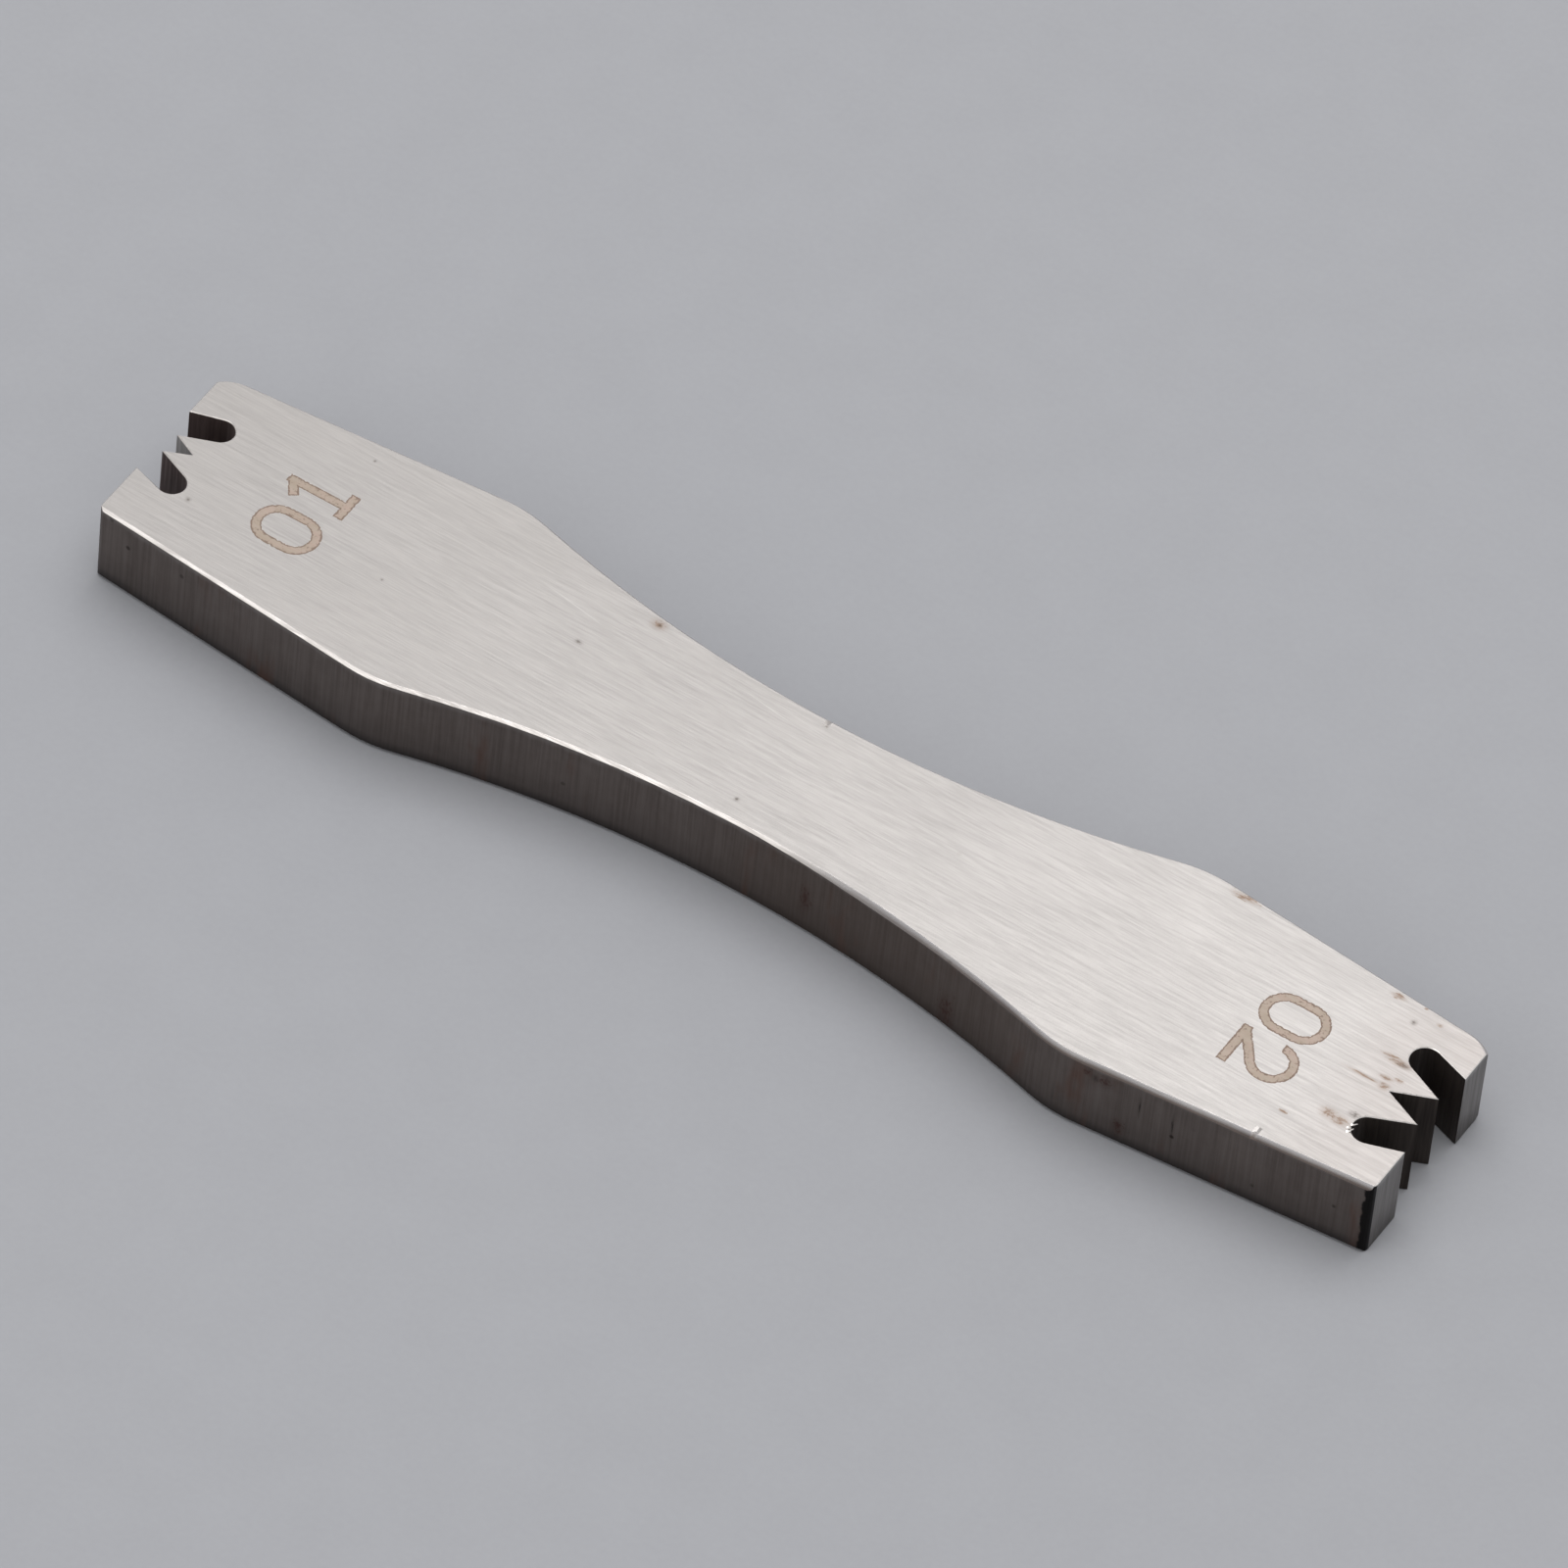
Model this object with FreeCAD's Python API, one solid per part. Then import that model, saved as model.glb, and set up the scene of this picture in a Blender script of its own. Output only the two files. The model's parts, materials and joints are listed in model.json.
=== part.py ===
import FreeCAD, Part
import math
import os

# Double-ended case back opener: one flat steel plate with a toothed mouth cut through
# each end, and a laser-marked size number beside each mouth.
# Frame: origin at the centre of the bottom face, +X along the length towards the
# larger mouth, +Y across the width, +Z up through the thickness. The marked face is on top.

# ---------------------------------------------------------------- driving dimensions
# Millimetres and degrees.

# Plate outline
length = 75.0
thickness = 5.0
tip_width = 11.3          # across an end face, before its corners are rounded
shoulder_width = 14.4     # across the sharp corners where flank and waist would meet
shoulder_spacing = 40.2   # along X, between those corners
waist_width = 8.6         # narrowest width, at the middle
shoulder_round = 8.0      # radius that softens each shoulder corner
front_corner_round = 0.45  # plan radius of the end corners on the -Y side
back_ease_radius = 2.2    # the +Y flanks curve in just before the end faces
back_ease_length = 1.3    # along X, from the end face to the start of that curve
edge_chamfer = 0.2        # hand-broken edges along both sides, top and bottom

# Mouths. A notch between two teeth, with a round-bottomed slot outside each tooth.
# Each slot's walls run from the jaw corner and the tooth tip, tangent to its bottom.
tooth_setback = 0.4       # tooth tips stand this far behind the end face

large_jaw_gap = 5.76      # between the jaw corners, on the end face
large_tooth_spacing = 2.0
large_notch_depth = 2.65  # from the end face to the bottom of the V
large_slot_radius = 0.85
large_slot_spacing = 5.5  # between the centres of the two slot bottoms
large_slot_depth = 3.03   # from the end face to the bottom of the slot
large_side_shift = 0.12   # the mouth was cut this far off the centre line, towards +Y

small_jaw_gap = 4.72
small_tooth_spacing = 1.34
small_notch_depth = 1.8
small_slot_radius = 0.77
small_slot_spacing = 4.36
small_slot_depth = 2.77
small_side_shift = 0.1

# Size numbers
mark_height = 3.8
digit_width = 2.75
digit_gap = 0.3
stroke = 0.56
mark_depth = 0.03         # thickness of the coloured oxide layer
mark_side_shift = 0.2     # the number stands this far off centre, the way it reads
large_mark_from_end = 6.9
small_mark_from_end = 6.5

# Working allowance: how far a cutting tool passes beyond the faces it cuts
overrun = 1.0

# --------------------------------------------------------------------- derived sizes
half_length = length / 2
half_tip = tip_width / 2
half_shoulder = shoulder_width / 2
half_waist = waist_width / 2
shoulder_x = shoulder_spacing / 2


def vec(x, y, z=0.0):
    return FreeCAD.Vector(x, y, z)


def line(start, end):
    return Part.LineSegment(start, end).toShape()


def arc(start, middle, end):
    return Part.Arc(start, middle, end).toShape()


# ----------------------------------------------------------------------------- plate
def back_ease(side):
    """The curve that takes a +Y flank in towards its end face, on the side of X that
    is asked for: its start on the flank, its middle and its end on the end face."""
    flank_slope = math.atan2(half_shoulder - half_tip, half_length - shoulder_x)
    start_x = half_length - back_ease_length
    start_y = half_tip + back_ease_length * math.tan(flank_slope)
    centre_x = start_x - back_ease_radius * math.sin(flank_slope)
    centre_y = start_y - back_ease_radius * math.cos(flank_slope)
    start_turn = flank_slope
    end_turn = math.asin((half_length - centre_x) / back_ease_radius)
    points = []
    for turn in (start_turn, (start_turn + end_turn) / 2, end_turn):
        x = centre_x + back_ease_radius * math.sin(turn)
        y = centre_y + back_ease_radius * math.cos(turn)
        points.append(vec(side * x, y))
    return points


def plate_outline():
    """The closed outline: two end faces, four straight flanks, the curves at the ends
    of the +Y flanks and the two shallow arcs of the waist. Shoulders are still sharp."""
    right_ease = back_ease(1)
    left_ease = back_ease(-1)
    right_tip_front = vec(half_length, -half_tip)
    left_tip_front = vec(-half_length, -half_tip)
    right_shoulder_back = vec(shoulder_x, half_shoulder)
    right_shoulder_front = vec(shoulder_x, -half_shoulder)
    left_shoulder_back = vec(-shoulder_x, half_shoulder)
    left_shoulder_front = vec(-shoulder_x, -half_shoulder)
    return Part.Wire([
        line(right_tip_front, right_ease[2]),
        arc(right_ease[2], right_ease[1], right_ease[0]),
        line(right_ease[0], right_shoulder_back),
        arc(right_shoulder_back, vec(0, half_waist), left_shoulder_back),
        line(left_shoulder_back, left_ease[0]),
        arc(left_ease[0], left_ease[1], left_ease[2]),
        line(left_ease[2], left_tip_front),
        line(left_tip_front, left_shoulder_front),
        arc(left_shoulder_front, vec(0, -half_waist), right_shoulder_front),
        line(right_shoulder_front, right_tip_front),
    ])


def upright_edges(solid, places):
    """The solid's upright edges that stand at the given places in the plan."""
    found = []
    for edge in solid.Edges:
        ends = [vertex.Point for vertex in edge.Vertexes]
        upright = len(ends) == 2 and abs(ends[0].z - ends[1].z) > thickness / 2
        if upright and any((vec(ends[0].x, ends[0].y) - place).Length < 1e-4 for place in places):
            found.append(edge)
    return found


def side_rim_edges(solid):
    """The edges of the top and bottom faces that run along the sides, not the ends."""
    found = []
    for edge in solid.Edges:
        box = edge.BoundBox
        in_top = abs(box.ZMin - thickness) < 1e-4
        in_bottom = abs(box.ZMax) < 1e-4
        across_the_end = box.XLength < 1e-4
        if (in_top or in_bottom) and not across_the_end:
            found.append(edge)
    return found


def plate():
    """The plate before the mouths are cut: rounded shoulders and front corners, and
    broken edges along the sides that run out at the end faces."""
    sharp = Part.Face(plate_outline()).extrude(vec(0, 0, thickness))
    shoulders = [vec(sx * shoulder_x, sy * half_shoulder) for sx in (-1, 1) for sy in (-1, 1)]
    smooth = sharp.makeFillet(shoulder_round, upright_edges(sharp, shoulders))
    broken = smooth.makeChamfer(edge_chamfer, side_rim_edges(smooth))
    front_corners = [vec(sx * half_length, -half_tip) for sx in (-1, 1)]
    rounded = smooth.makeFillet(front_corner_round, upright_edges(smooth, front_corners))
    return broken.common(rounded)


# ---------------------------------------------------------------------------- mouths
def tangent_point(start, centre, radius, side):
    """Where the line from start touches the circle; side is 1 if the circle lies to
    the right of that line, and -1 if it lies to the left."""
    to_centre = centre - start
    half_angle = side * math.asin(radius / to_centre.Length)
    run = math.sqrt(to_centre.Length ** 2 - radius ** 2)
    direction = math.atan2(to_centre.y, to_centre.x) + half_angle
    return start + vec(math.cos(direction), math.sin(direction)) * run


def half_mouth(jaw_gap, tooth_spacing, notch_depth, slot_radius, slot_spacing, slot_depth):
    """Points of one side of a mouth, from the notch between the teeth outwards.
    X runs into the tool from its end face, and Y away from the mouth's middle."""
    notch_bottom = vec(notch_depth, 0)
    tooth_tip = vec(tooth_setback, tooth_spacing / 2)
    jaw_corner = vec(0, jaw_gap / 2)
    centre = vec(slot_depth - slot_radius, slot_spacing / 2)
    inner_wall_end = tangent_point(tooth_tip, centre, slot_radius, -1)
    outer_wall_end = tangent_point(jaw_corner, centre, slot_radius, 1)
    middle_of_opening = (tooth_tip + jaw_corner) / 2
    slot_bottom = centre + (centre - middle_of_opening).normalize() * slot_radius
    outward = (jaw_corner - outer_wall_end).normalize()
    outside = jaw_corner + outward * (overrun / abs(outward.x))
    return notch_bottom, tooth_tip, inner_wall_end, slot_bottom, outer_wall_end, outside


def mouth_cutter(half, side_shift):
    """The prism that is removed from the +X end, from the points of half a mouth."""
    def place(point, side):
        return vec(half_length - point.x, side * point.y + side_shift, -overrun)

    edges = []
    for side in (-1, 1):
        notch, tip, inner, bottom, outer, outside = [place(point, side) for point in half]
        edges += [line(notch, tip), line(tip, inner), arc(inner, bottom, outer), line(outer, outside)]
    edges.append(line(place(half[-1], -1), place(half[-1], 1)))
    outline = Part.Wire(Part.sortEdges(edges)[0])
    return Part.Face(outline).extrude(vec(0, 0, thickness + 2 * overrun))


def turned_round(shape):
    """The shape turned half a turn about Z, from the +X end to the -X end."""
    copy = shape.copy()
    copy.rotate(vec(0, 0), vec(0, 0, 1), 180)
    return copy


# ---------------------------------------------------------------------- size numbers
# Each digit stands in a box digit_width wide and mark_height high, with its lower
# left corner at the origin. X is the way the number reads and Y is up the digit.
def layer(outline):
    return Part.Face(outline).extrude(vec(0, 0, mark_depth))


def bar(start, end):
    """A straight stroke with square ends."""
    along = (end - start).normalize()
    side = vec(-along.y, along.x) * (stroke / 2)
    corners = [start + side, start - side, end - side, end + side]
    return layer(Part.makePolygon(corners + corners[:1]))


def bend(centre, radius, start_degrees, end_degrees):
    """A stroke along part of a circle; radius is that of the stroke's middle line."""
    def on_circle(distance, degrees):
        angle = math.radians(degrees)
        return centre + vec(math.cos(angle), math.sin(angle)) * distance

    middle_degrees = (start_degrees + end_degrees) / 2
    outer = radius + stroke / 2
    inner = radius - stroke / 2
    outer_points = [on_circle(outer, a) for a in (start_degrees, middle_degrees, end_degrees)]
    inner_points = [on_circle(inner, a) for a in (end_degrees, middle_degrees, start_degrees)]
    return layer(Part.Wire([
        arc(*outer_points),
        line(outer_points[-1], inner_points[0]),
        arc(*inner_points),
        line(inner_points[-1], outer_points[0]),
    ]))


def joined(strokes):
    """One digit from its strokes, trimmed to the digit's box."""
    whole = strokes[0].fuse(strokes[1:])
    box = Part.makeBox(digit_width, mark_height, mark_depth)
    return whole.common(box).removeSplitter()


bend_radius = (digit_width - stroke) / 2
middle_x = digit_width / 2
top_centre = vec(middle_x, mark_height - digit_width / 2)
bottom_centre = vec(middle_x, digit_width / 2)


def digit_zero():
    side_reach = vec(bend_radius, 0)
    return joined([
        bend(top_centre, bend_radius, 0, 180),
        bar(top_centre - side_reach, bottom_centre - side_reach),
        bend(bottom_centre, bend_radius, 180, 360),
        bar(bottom_centre + side_reach, top_centre + side_reach),
    ])


def digit_one():
    foot_half = digit_width / 3
    stem_top = vec(middle_x, mark_height)
    flag_end = vec(middle_x - digit_width / 3, mark_height - digit_width / 3)
    return joined([
        bar(vec(middle_x, 0), stem_top),
        bar(flag_end, stem_top - vec(0, stroke / 2)),
        bar(vec(middle_x - foot_half, stroke / 2), vec(middle_x + foot_half, stroke / 2)),
    ])


def digit_two():
    """An arc over the top, a straight leg tangent to it, and a foot."""
    leg_end = vec(stroke / 2, stroke / 2)
    towards_leg_end = leg_end - top_centre
    direction = math.atan2(towards_leg_end.y, towards_leg_end.x)
    tangent = direction + math.acos(bend_radius / towards_leg_end.Length)
    leg_start = top_centre + vec(math.cos(tangent), math.sin(tangent)) * bend_radius
    return joined([
        bend(top_centre, bend_radius, math.degrees(tangent), 180),
        bar(leg_start, leg_end),
        bar(vec(0, stroke / 2), vec(digit_width, stroke / 2)),
    ])


def size_number(first, second, from_end):
    """Two digits as one layer flush with the top face at the +X end, their tops
    towards that end."""
    pair_width = 2 * digit_width + digit_gap
    first.translate(vec(-pair_width / 2, 0))
    second.translate(vec(pair_width / 2 - digit_width, 0))
    number = Part.makeCompound([first, second])
    number.translate(vec(mark_side_shift, -mark_height))
    number.rotate(vec(0, 0), vec(0, 0, 1), -90)
    number.translate(vec(half_length - from_end, 0, thickness - mark_depth))
    return number


# -------------------------------------------------------------------------- assembly
large_half = half_mouth(
    large_jaw_gap, large_tooth_spacing, large_notch_depth,
    large_slot_radius, large_slot_spacing, large_slot_depth,
)
small_half = half_mouth(
    small_jaw_gap, small_tooth_spacing, small_notch_depth,
    small_slot_radius, small_slot_spacing, small_slot_depth,
)
large_mouth = mouth_cutter(large_half, large_side_shift)
small_mouth = turned_round(mouth_cutter(small_half, -small_side_shift))
large_mark = size_number(digit_zero(), digit_two(), large_mark_from_end)
small_mark = turned_round(size_number(digit_zero(), digit_one(), small_mark_from_end))
body = plate().cut([large_mouth, small_mouth, large_mark, small_mark])

nodes = {
    "opener_body": body,
    "size_mark_large_end": large_mark,
    "size_mark_small_end": small_mark,
}

os.makedirs("parts", exist_ok=True)
for name, shape in nodes.items():
    shape.exportStep(f"parts/{name}.step")
    print(name, "solids", len(shape.Solids), "valid", shape.isValid(), "volume", round(shape.Volume, 3))
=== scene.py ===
# %% [markdown]
# # A case back opener, dressed in Blender
#
# The tool is one flat bar of stainless plate, 75 mm long and 5 mm thick, narrowed at the middle.
# Each end is wire-cut into a mouth: a V notch between two teeth, and a round-bottomed slot outside
# each tooth. The top is linished along its length and carries a laser-marked size number near each
# mouth. The CAD model gives every size. This lesson adds what a CAD model leaves out: edges broken
# by hand, a nick or two, a burr, and the finishes of ground, wire-cut and laser-marked steel.

# %% Load the fixed frame
import json
import math

import bmesh
import bpy
from mathutils import Matrix, Vector

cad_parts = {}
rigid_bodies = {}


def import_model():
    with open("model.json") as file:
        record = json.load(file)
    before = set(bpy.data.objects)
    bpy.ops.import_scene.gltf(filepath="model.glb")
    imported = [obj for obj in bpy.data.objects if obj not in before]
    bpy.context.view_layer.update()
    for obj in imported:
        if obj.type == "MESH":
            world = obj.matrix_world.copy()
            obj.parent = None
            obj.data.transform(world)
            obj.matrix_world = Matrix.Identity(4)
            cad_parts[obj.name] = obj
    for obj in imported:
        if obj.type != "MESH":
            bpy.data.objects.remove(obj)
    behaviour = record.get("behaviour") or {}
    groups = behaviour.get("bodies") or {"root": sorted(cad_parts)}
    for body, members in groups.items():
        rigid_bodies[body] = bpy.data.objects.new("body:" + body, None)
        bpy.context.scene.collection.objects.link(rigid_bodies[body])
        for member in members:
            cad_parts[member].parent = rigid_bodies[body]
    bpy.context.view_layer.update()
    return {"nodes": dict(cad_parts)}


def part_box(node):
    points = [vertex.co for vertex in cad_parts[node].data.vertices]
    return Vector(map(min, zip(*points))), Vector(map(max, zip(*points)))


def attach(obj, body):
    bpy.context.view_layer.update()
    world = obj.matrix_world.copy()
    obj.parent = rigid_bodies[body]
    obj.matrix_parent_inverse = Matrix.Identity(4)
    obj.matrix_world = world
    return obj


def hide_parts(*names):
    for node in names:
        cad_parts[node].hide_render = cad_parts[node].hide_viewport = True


for leftover in list(bpy.data.objects):
    bpy.data.objects.remove(leftover)
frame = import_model()
MM = 0.001
low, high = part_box("opener_body")
print("plate in mm:", [round(side / MM, 2) for side in high - low])

# %% [markdown]
# ## The camera
#
# The tool is seen from a long way off with a long lens, so its two sides stay almost parallel.
# A camera is easiest to place by what it looks at: a point on the floor, a direction round the
# object, a height above it and a distance. Last, it is tipped a little about its own axis.

# %% Camera
AIM = Vector((-1.9, 3.2, 0.0)) * MM
AROUND = math.radians(27.66)
ABOVE = math.radians(48.46)
TIPPED = math.radians(6.61)
DISTANCE = 834.6 * MM
SENSOR_MM = 36
FOCAL_MM = 384
NEAREST_SEEN = 0.05
FARTHEST_SEEN = 50

towards_camera = Vector(
    (
        math.sin(AROUND) * math.cos(ABOVE),
        -math.cos(AROUND) * math.cos(ABOVE),
        math.sin(ABOVE),
    )
)
level = (-towards_camera).to_track_quat("-Z", "Y").to_matrix().to_4x4()
lens = bpy.data.cameras.new("camera")
lens.sensor_width = SENSOR_MM
lens.lens = FOCAL_MM
lens.clip_start = NEAREST_SEEN
lens.clip_end = FARTHEST_SEEN
camera = bpy.data.objects.new("camera", lens)
bpy.context.scene.collection.objects.link(camera)
camera.matrix_world = (
    Matrix.Translation(AIM + towards_camera * DISTANCE)
    @ level
    @ Matrix.Rotation(TIPPED, 4, "Z")
)
bpy.context.scene.camera = camera
bpy.context.scene.view_settings.view_transform = "Standard"
print("camera at, in mm:", [round(part / MM, 1) for part in camera.matrix_world.translation])

# %% [markdown]
# ## Small helpers
#
# Operators act on whatever is selected, so each step first clears the selection, takes up one
# piece, and then picks its faces or edges by where they are or which way they look. How far a face
# looks up is read from its normal's z: 1 for a level face, 0 for an upright one.

# %% Helpers for choosing
FACES_UP = 0.99
UPRIGHT = 0.05
WELD_WITHIN = 0.001 * MM
FLAT_WITHIN = math.radians(0.3)


def take_up(piece):
    """Selects one piece and nothing else, in object mode."""
    if bpy.context.object and bpy.context.object.mode != "OBJECT":
        bpy.ops.object.mode_set(mode="OBJECT")
    bpy.ops.object.select_all(action="DESELECT")
    bpy.context.view_layer.objects.active = piece
    piece.select_set(True)


def open_up(piece, parts="FACE"):
    """Takes a piece into edit mode with nothing selected."""
    take_up(piece)
    bpy.ops.object.mode_set(mode="EDIT")
    bpy.ops.mesh.select_mode(type=parts)
    bpy.ops.mesh.select_all(action="DESELECT")


def close_up():
    """Goes back to object mode."""
    bpy.ops.object.mode_set(mode="OBJECT")


def choose(piece, parts, wanted):
    """Selects the faces, edges or verts that wanted() says yes to, and gives how many."""
    sketch = bmesh.from_edit_mesh(piece.data)
    sketch.normal_update()
    count = 0
    for part in getattr(sketch, parts):
        if wanted(part):
            part.select_set(True)
            count += 1
    sketch.select_flush_mode()
    bmesh.update_edit_mesh(piece.data)
    return count


def welded_copy(node_name, piece_name):
    """A copy of a CAD node with its loose triangles merged and its flat faces made whole."""
    piece = bpy.data.objects.new(piece_name, frame["nodes"][node_name].data.copy())
    piece.data.name = piece_name
    piece.data.materials.clear()
    bpy.context.scene.collection.objects.link(piece)
    open_up(piece)
    bpy.ops.mesh.select_all(action="SELECT")
    bpy.ops.mesh.remove_doubles(threshold=WELD_WITHIN)
    bpy.ops.mesh.dissolve_limited(angle_limit=FLAT_WITHIN)
    close_up()
    bpy.ops.mesh.customdata_custom_splitnormals_clear()
    for edge in piece.data.edges:
        edge.use_edge_sharp = False
    print(piece_name, "starts with", len(piece.data.polygons), "faces")
    return piece


# %% [markdown]
# ## The plate
#
# The real plate is cut from sheet with a wire, ground flat, and then rubbed along its edges by
# hand. It could be drawn again from nothing, but the CAD node already has its outline, so a merged
# copy of it is the start. Cuts across its length give the long edges points to bend at, because a
# hand never breaks an edge evenly. The cuts stand closer together where a nick will be pressed in.

# %% Copy the plate and cut it across
TOP = high.z
plate = welded_copy("opener_body", "opener_plate")
CUT_SPACING = 1.5 * MM
CUTS_EACH_WAY = 22
NEAR_NICK = 30.93 * MM
FAR_NICK = -0.26 * MM
NICK_STEP = 0.17 * MM
SNAP_TO_POINTS = 0.03 * MM

cuts = [step * CUT_SPACING for step in range(-CUTS_EACH_WAY, CUTS_EACH_WAY + 1)]
for nick in (NEAR_NICK, FAR_NICK):
    cuts = [cut for cut in cuts if abs(cut - nick) > 2.5 * NICK_STEP]
    cuts += [nick + step * NICK_STEP for step in (-2, -1, 0, 1, 2)]
open_up(plate)
for cut in sorted(cuts):
    bpy.ops.mesh.select_all(action="SELECT")
    bpy.ops.mesh.bisect(plane_co=(cut, 0, 0), plane_no=(1, 0, 0), threshold=SNAP_TO_POINTS)
close_up()
print("after", len(cuts), "cuts:", len(plate.data.polygons), "faces")

# %% [markdown]
# ## The hand-broken edge
#
# A file has gone along the near top edge. Towards the smaller mouth it only kissed the corner,
# which leaves a narrow bright bevel. Towards the larger mouth it was held steeper and cut deeper,
# and left a grey strip. A vertex group holds how strongly each point moves, and a Displace
# modifier moves it. That is done three times: for the light pass of the file, for the bevel's top
# line, and for the heavy pass.

# %% Shift the two lines of the near bevel
def nudge(piece, title, axis, amount, strength_at):
    """Moves the points of a piece along an axis, each by amount times strength_at(its place)."""
    group = piece.vertex_groups.new(name=title)
    touched = 0
    for point in piece.data.vertices:
        strength = strength_at(point.co)
        if strength > 0:
            group.add([point.index], min(strength, 1.0), "REPLACE")
            touched += 1
    take_up(piece)
    push = piece.modifiers.new(title, "DISPLACE")
    push.direction = axis
    push.mid_level = 0
    push.strength = amount
    push.vertex_group = title
    bpy.ops.object.modifier_apply(modifier=title)
    piece.vertex_groups.remove(piece.vertex_groups[title])
    print(title, "moved", touched, "points")


NEAR_SIDE = -3.9 * MM
BEVEL_FOOT = TOP - 0.2 * MM
ON_LINE = 0.01 * MM
FOOT_BAND = 0.1 * MM
LIGHT_LIFT = 0.07 * MM
TOP_LINE_OUT = 0.06 * MM
HEAVY_DROP = 0.19 * MM
PRESSURE_FROM_MM = 0.5
PRESSURE_OVER_MM = 7.0


def file_pressure(x):
    """How hard the file was pressed at x, from 0 to 1 towards the larger mouth."""
    share = min(max((x / MM - PRESSURE_FROM_MM) / PRESSURE_OVER_MM, 0.0), 1.0)
    return share * share * (3 - 2 * share)


def hand_wobble(x):
    """The unevenness of a hand-held file, from 0 to 1."""
    return 0.5 + 0.3 * math.sin(x / MM * 0.9) + 0.2 * math.sin(x / MM * 2.3 + 1.0)


def near_level(place, level, within):
    """True for a point of the near side that is at a level."""
    return place.y < NEAR_SIDE and abs(place.z - level) < within


nudge(
    plate, "light_pass", "Z", LIGHT_LIFT,
    lambda place: near_level(place, BEVEL_FOOT, ON_LINE)
    * (1 - file_pressure(place.x)) * (0.7 + 0.3 * hand_wobble(place.x)),
)
nudge(
    plate, "top_line_out", "Y", -TOP_LINE_OUT,
    lambda place: near_level(place, TOP, ON_LINE)
    * (0.6 + 0.4 * hand_wobble(place.x + 5 * MM)),
)
nudge(
    plate, "heavy_pass", "Z", -HEAVY_DROP,
    lambda place: near_level(place, BEVEL_FOOT, FOOT_BAND)
    * file_pressure(place.x) * (0.75 + 0.25 * hand_wobble(place.x)),
)

# %% [markdown]
# ## Two nicks
#
# The near edge was knocked close to the larger mouth, and the far edge at the waist. Each nick is
# one place of the edge pressed into the plate between its two neighbours. A cut a little way in
# from the edge comes first, so that the rest of the top face stays flat.

# %% Press the nicks in
NICK_REACH = 0.45 * MM
BESIDE = 0.05 * MM
TOP_LAYER = TOP - 0.02 * MM


def press_nick(x, side, inward, down):
    """Presses the edge in at x, on the side of +Y (1) or -Y (-1)."""
    rim = max(
        point.co.y * side
        for point in plate.data.vertices
        if abs(point.co.x - x) < BESIDE and point.co.z > TOP_LAYER
    )
    open_up(plate)
    strips = choose(
        plate, "faces",
        lambda face: face.normal.z > FACES_UP
        and abs(face.calc_center_median().x - x) < 2.2 * NICK_STEP
        and face.calc_center_median().z > TOP - ON_LINE,
    )
    bpy.ops.mesh.bisect(
        plane_co=(x, side * (rim - NICK_REACH), 0), plane_no=(0, 1, 0), threshold=ON_LINE
    )
    bpy.ops.mesh.select_all(action="DESELECT")
    bpy.ops.mesh.select_mode(type="VERT")
    found = choose(
        plate, "verts",
        lambda point: abs(point.co.x - x) < BESIDE
        and point.co.y * side > rim - BESIDE
        and point.co.z > TOP_LAYER,
    )
    bpy.ops.transform.translate(value=(0, -side * inward, -down))
    close_up()
    print("nick at", round(x / MM, 2), "mm: cut", strips, "strips, pressed", found, "point")


press_nick(NEAR_NICK, -1, 0.12 * MM, 0.07 * MM)
press_nick(FAR_NICK, 1, 0.17 * MM, 0.13 * MM)

# %% [markdown]
# ## The rims of the ends and mouths
#
# The wire leaves square edges at the end faces and in the mouths, and handling takes off the
# last few hundredths of a millimetre. A very small bevel there catches a thin line of light,
# which is what makes cut metal look like metal.

# %% Bevel the square rims
RIM_BREAK = 0.045 * MM
TALL = 1.0 * MM


def is_square_rim(edge):
    """True for an edge between a level face and a tall upright one."""
    if len(edge.link_faces) != 2:
        return False
    flat = [face for face in edge.link_faces if abs(face.normal.z) > FACES_UP]
    wall = [face for face in edge.link_faces if abs(face.normal.z) < UPRIGHT]
    if len(flat) != 1 or len(wall) != 1:
        return False
    heights = [point.co.z for point in wall[0].verts]
    return max(heights) - min(heights) > TALL


open_up(plate, "EDGE")
rims = choose(plate, "edges", is_square_rim)
bpy.ops.mesh.bevel(offset=RIM_BREAK, segments=1, clamp_overlap=True)
close_up()
print(rims, "square rim edges bevelled")

# %% Soften the two lines of the near bevel
NEAR_SOFTENING = 0.055 * MM
BEVEL_REACH = TOP - 0.6 * MM
FLAT_ENOUGH = 0.98
SLANTED_FROM = 0.1
SLANTED_TO = 0.9


def is_slanted(slope):
    """True for a face that is neither level nor upright."""
    return SLANTED_FROM < slope < SLANTED_TO


def is_near_bevel_line(edge):
    """True for the top line and the foot line of the bevel along the near side."""
    if len(edge.link_faces) != 2 or any(point.co.y > NEAR_SIDE for point in edge.verts):
        return False
    if min(point.co.z for point in edge.verts) < BEVEL_REACH:
        return False
    slopes = sorted(abs(face.normal.z) for face in edge.link_faces)
    on_top = slopes[1] > FLAT_ENOUGH and is_slanted(slopes[0])
    at_foot = slopes[0] < UPRIGHT and is_slanted(slopes[1])
    return on_top or at_foot


open_up(plate, "EDGE")
lines_found = choose(plate, "edges", is_near_bevel_line)
bpy.ops.mesh.bevel(offset=NEAR_SOFTENING, segments=1, clamp_overlap=True)
close_up()
print(lines_found, "edges of the near bevel softened")

# %% [markdown]
# ## Burrs at a slot and at a nick
#
# Where the round end of a slot breaks through the top, a few shreds of metal stay curled over the
# rim, and one more stands at the near nick. Each shred starts as a small plane, is drawn out along
# a curl in three pulls that lift and narrow it, and gets its thickness from a Solidify modifier.
# It is modelled about one unit long, and then scaled and turned into its place.

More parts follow.
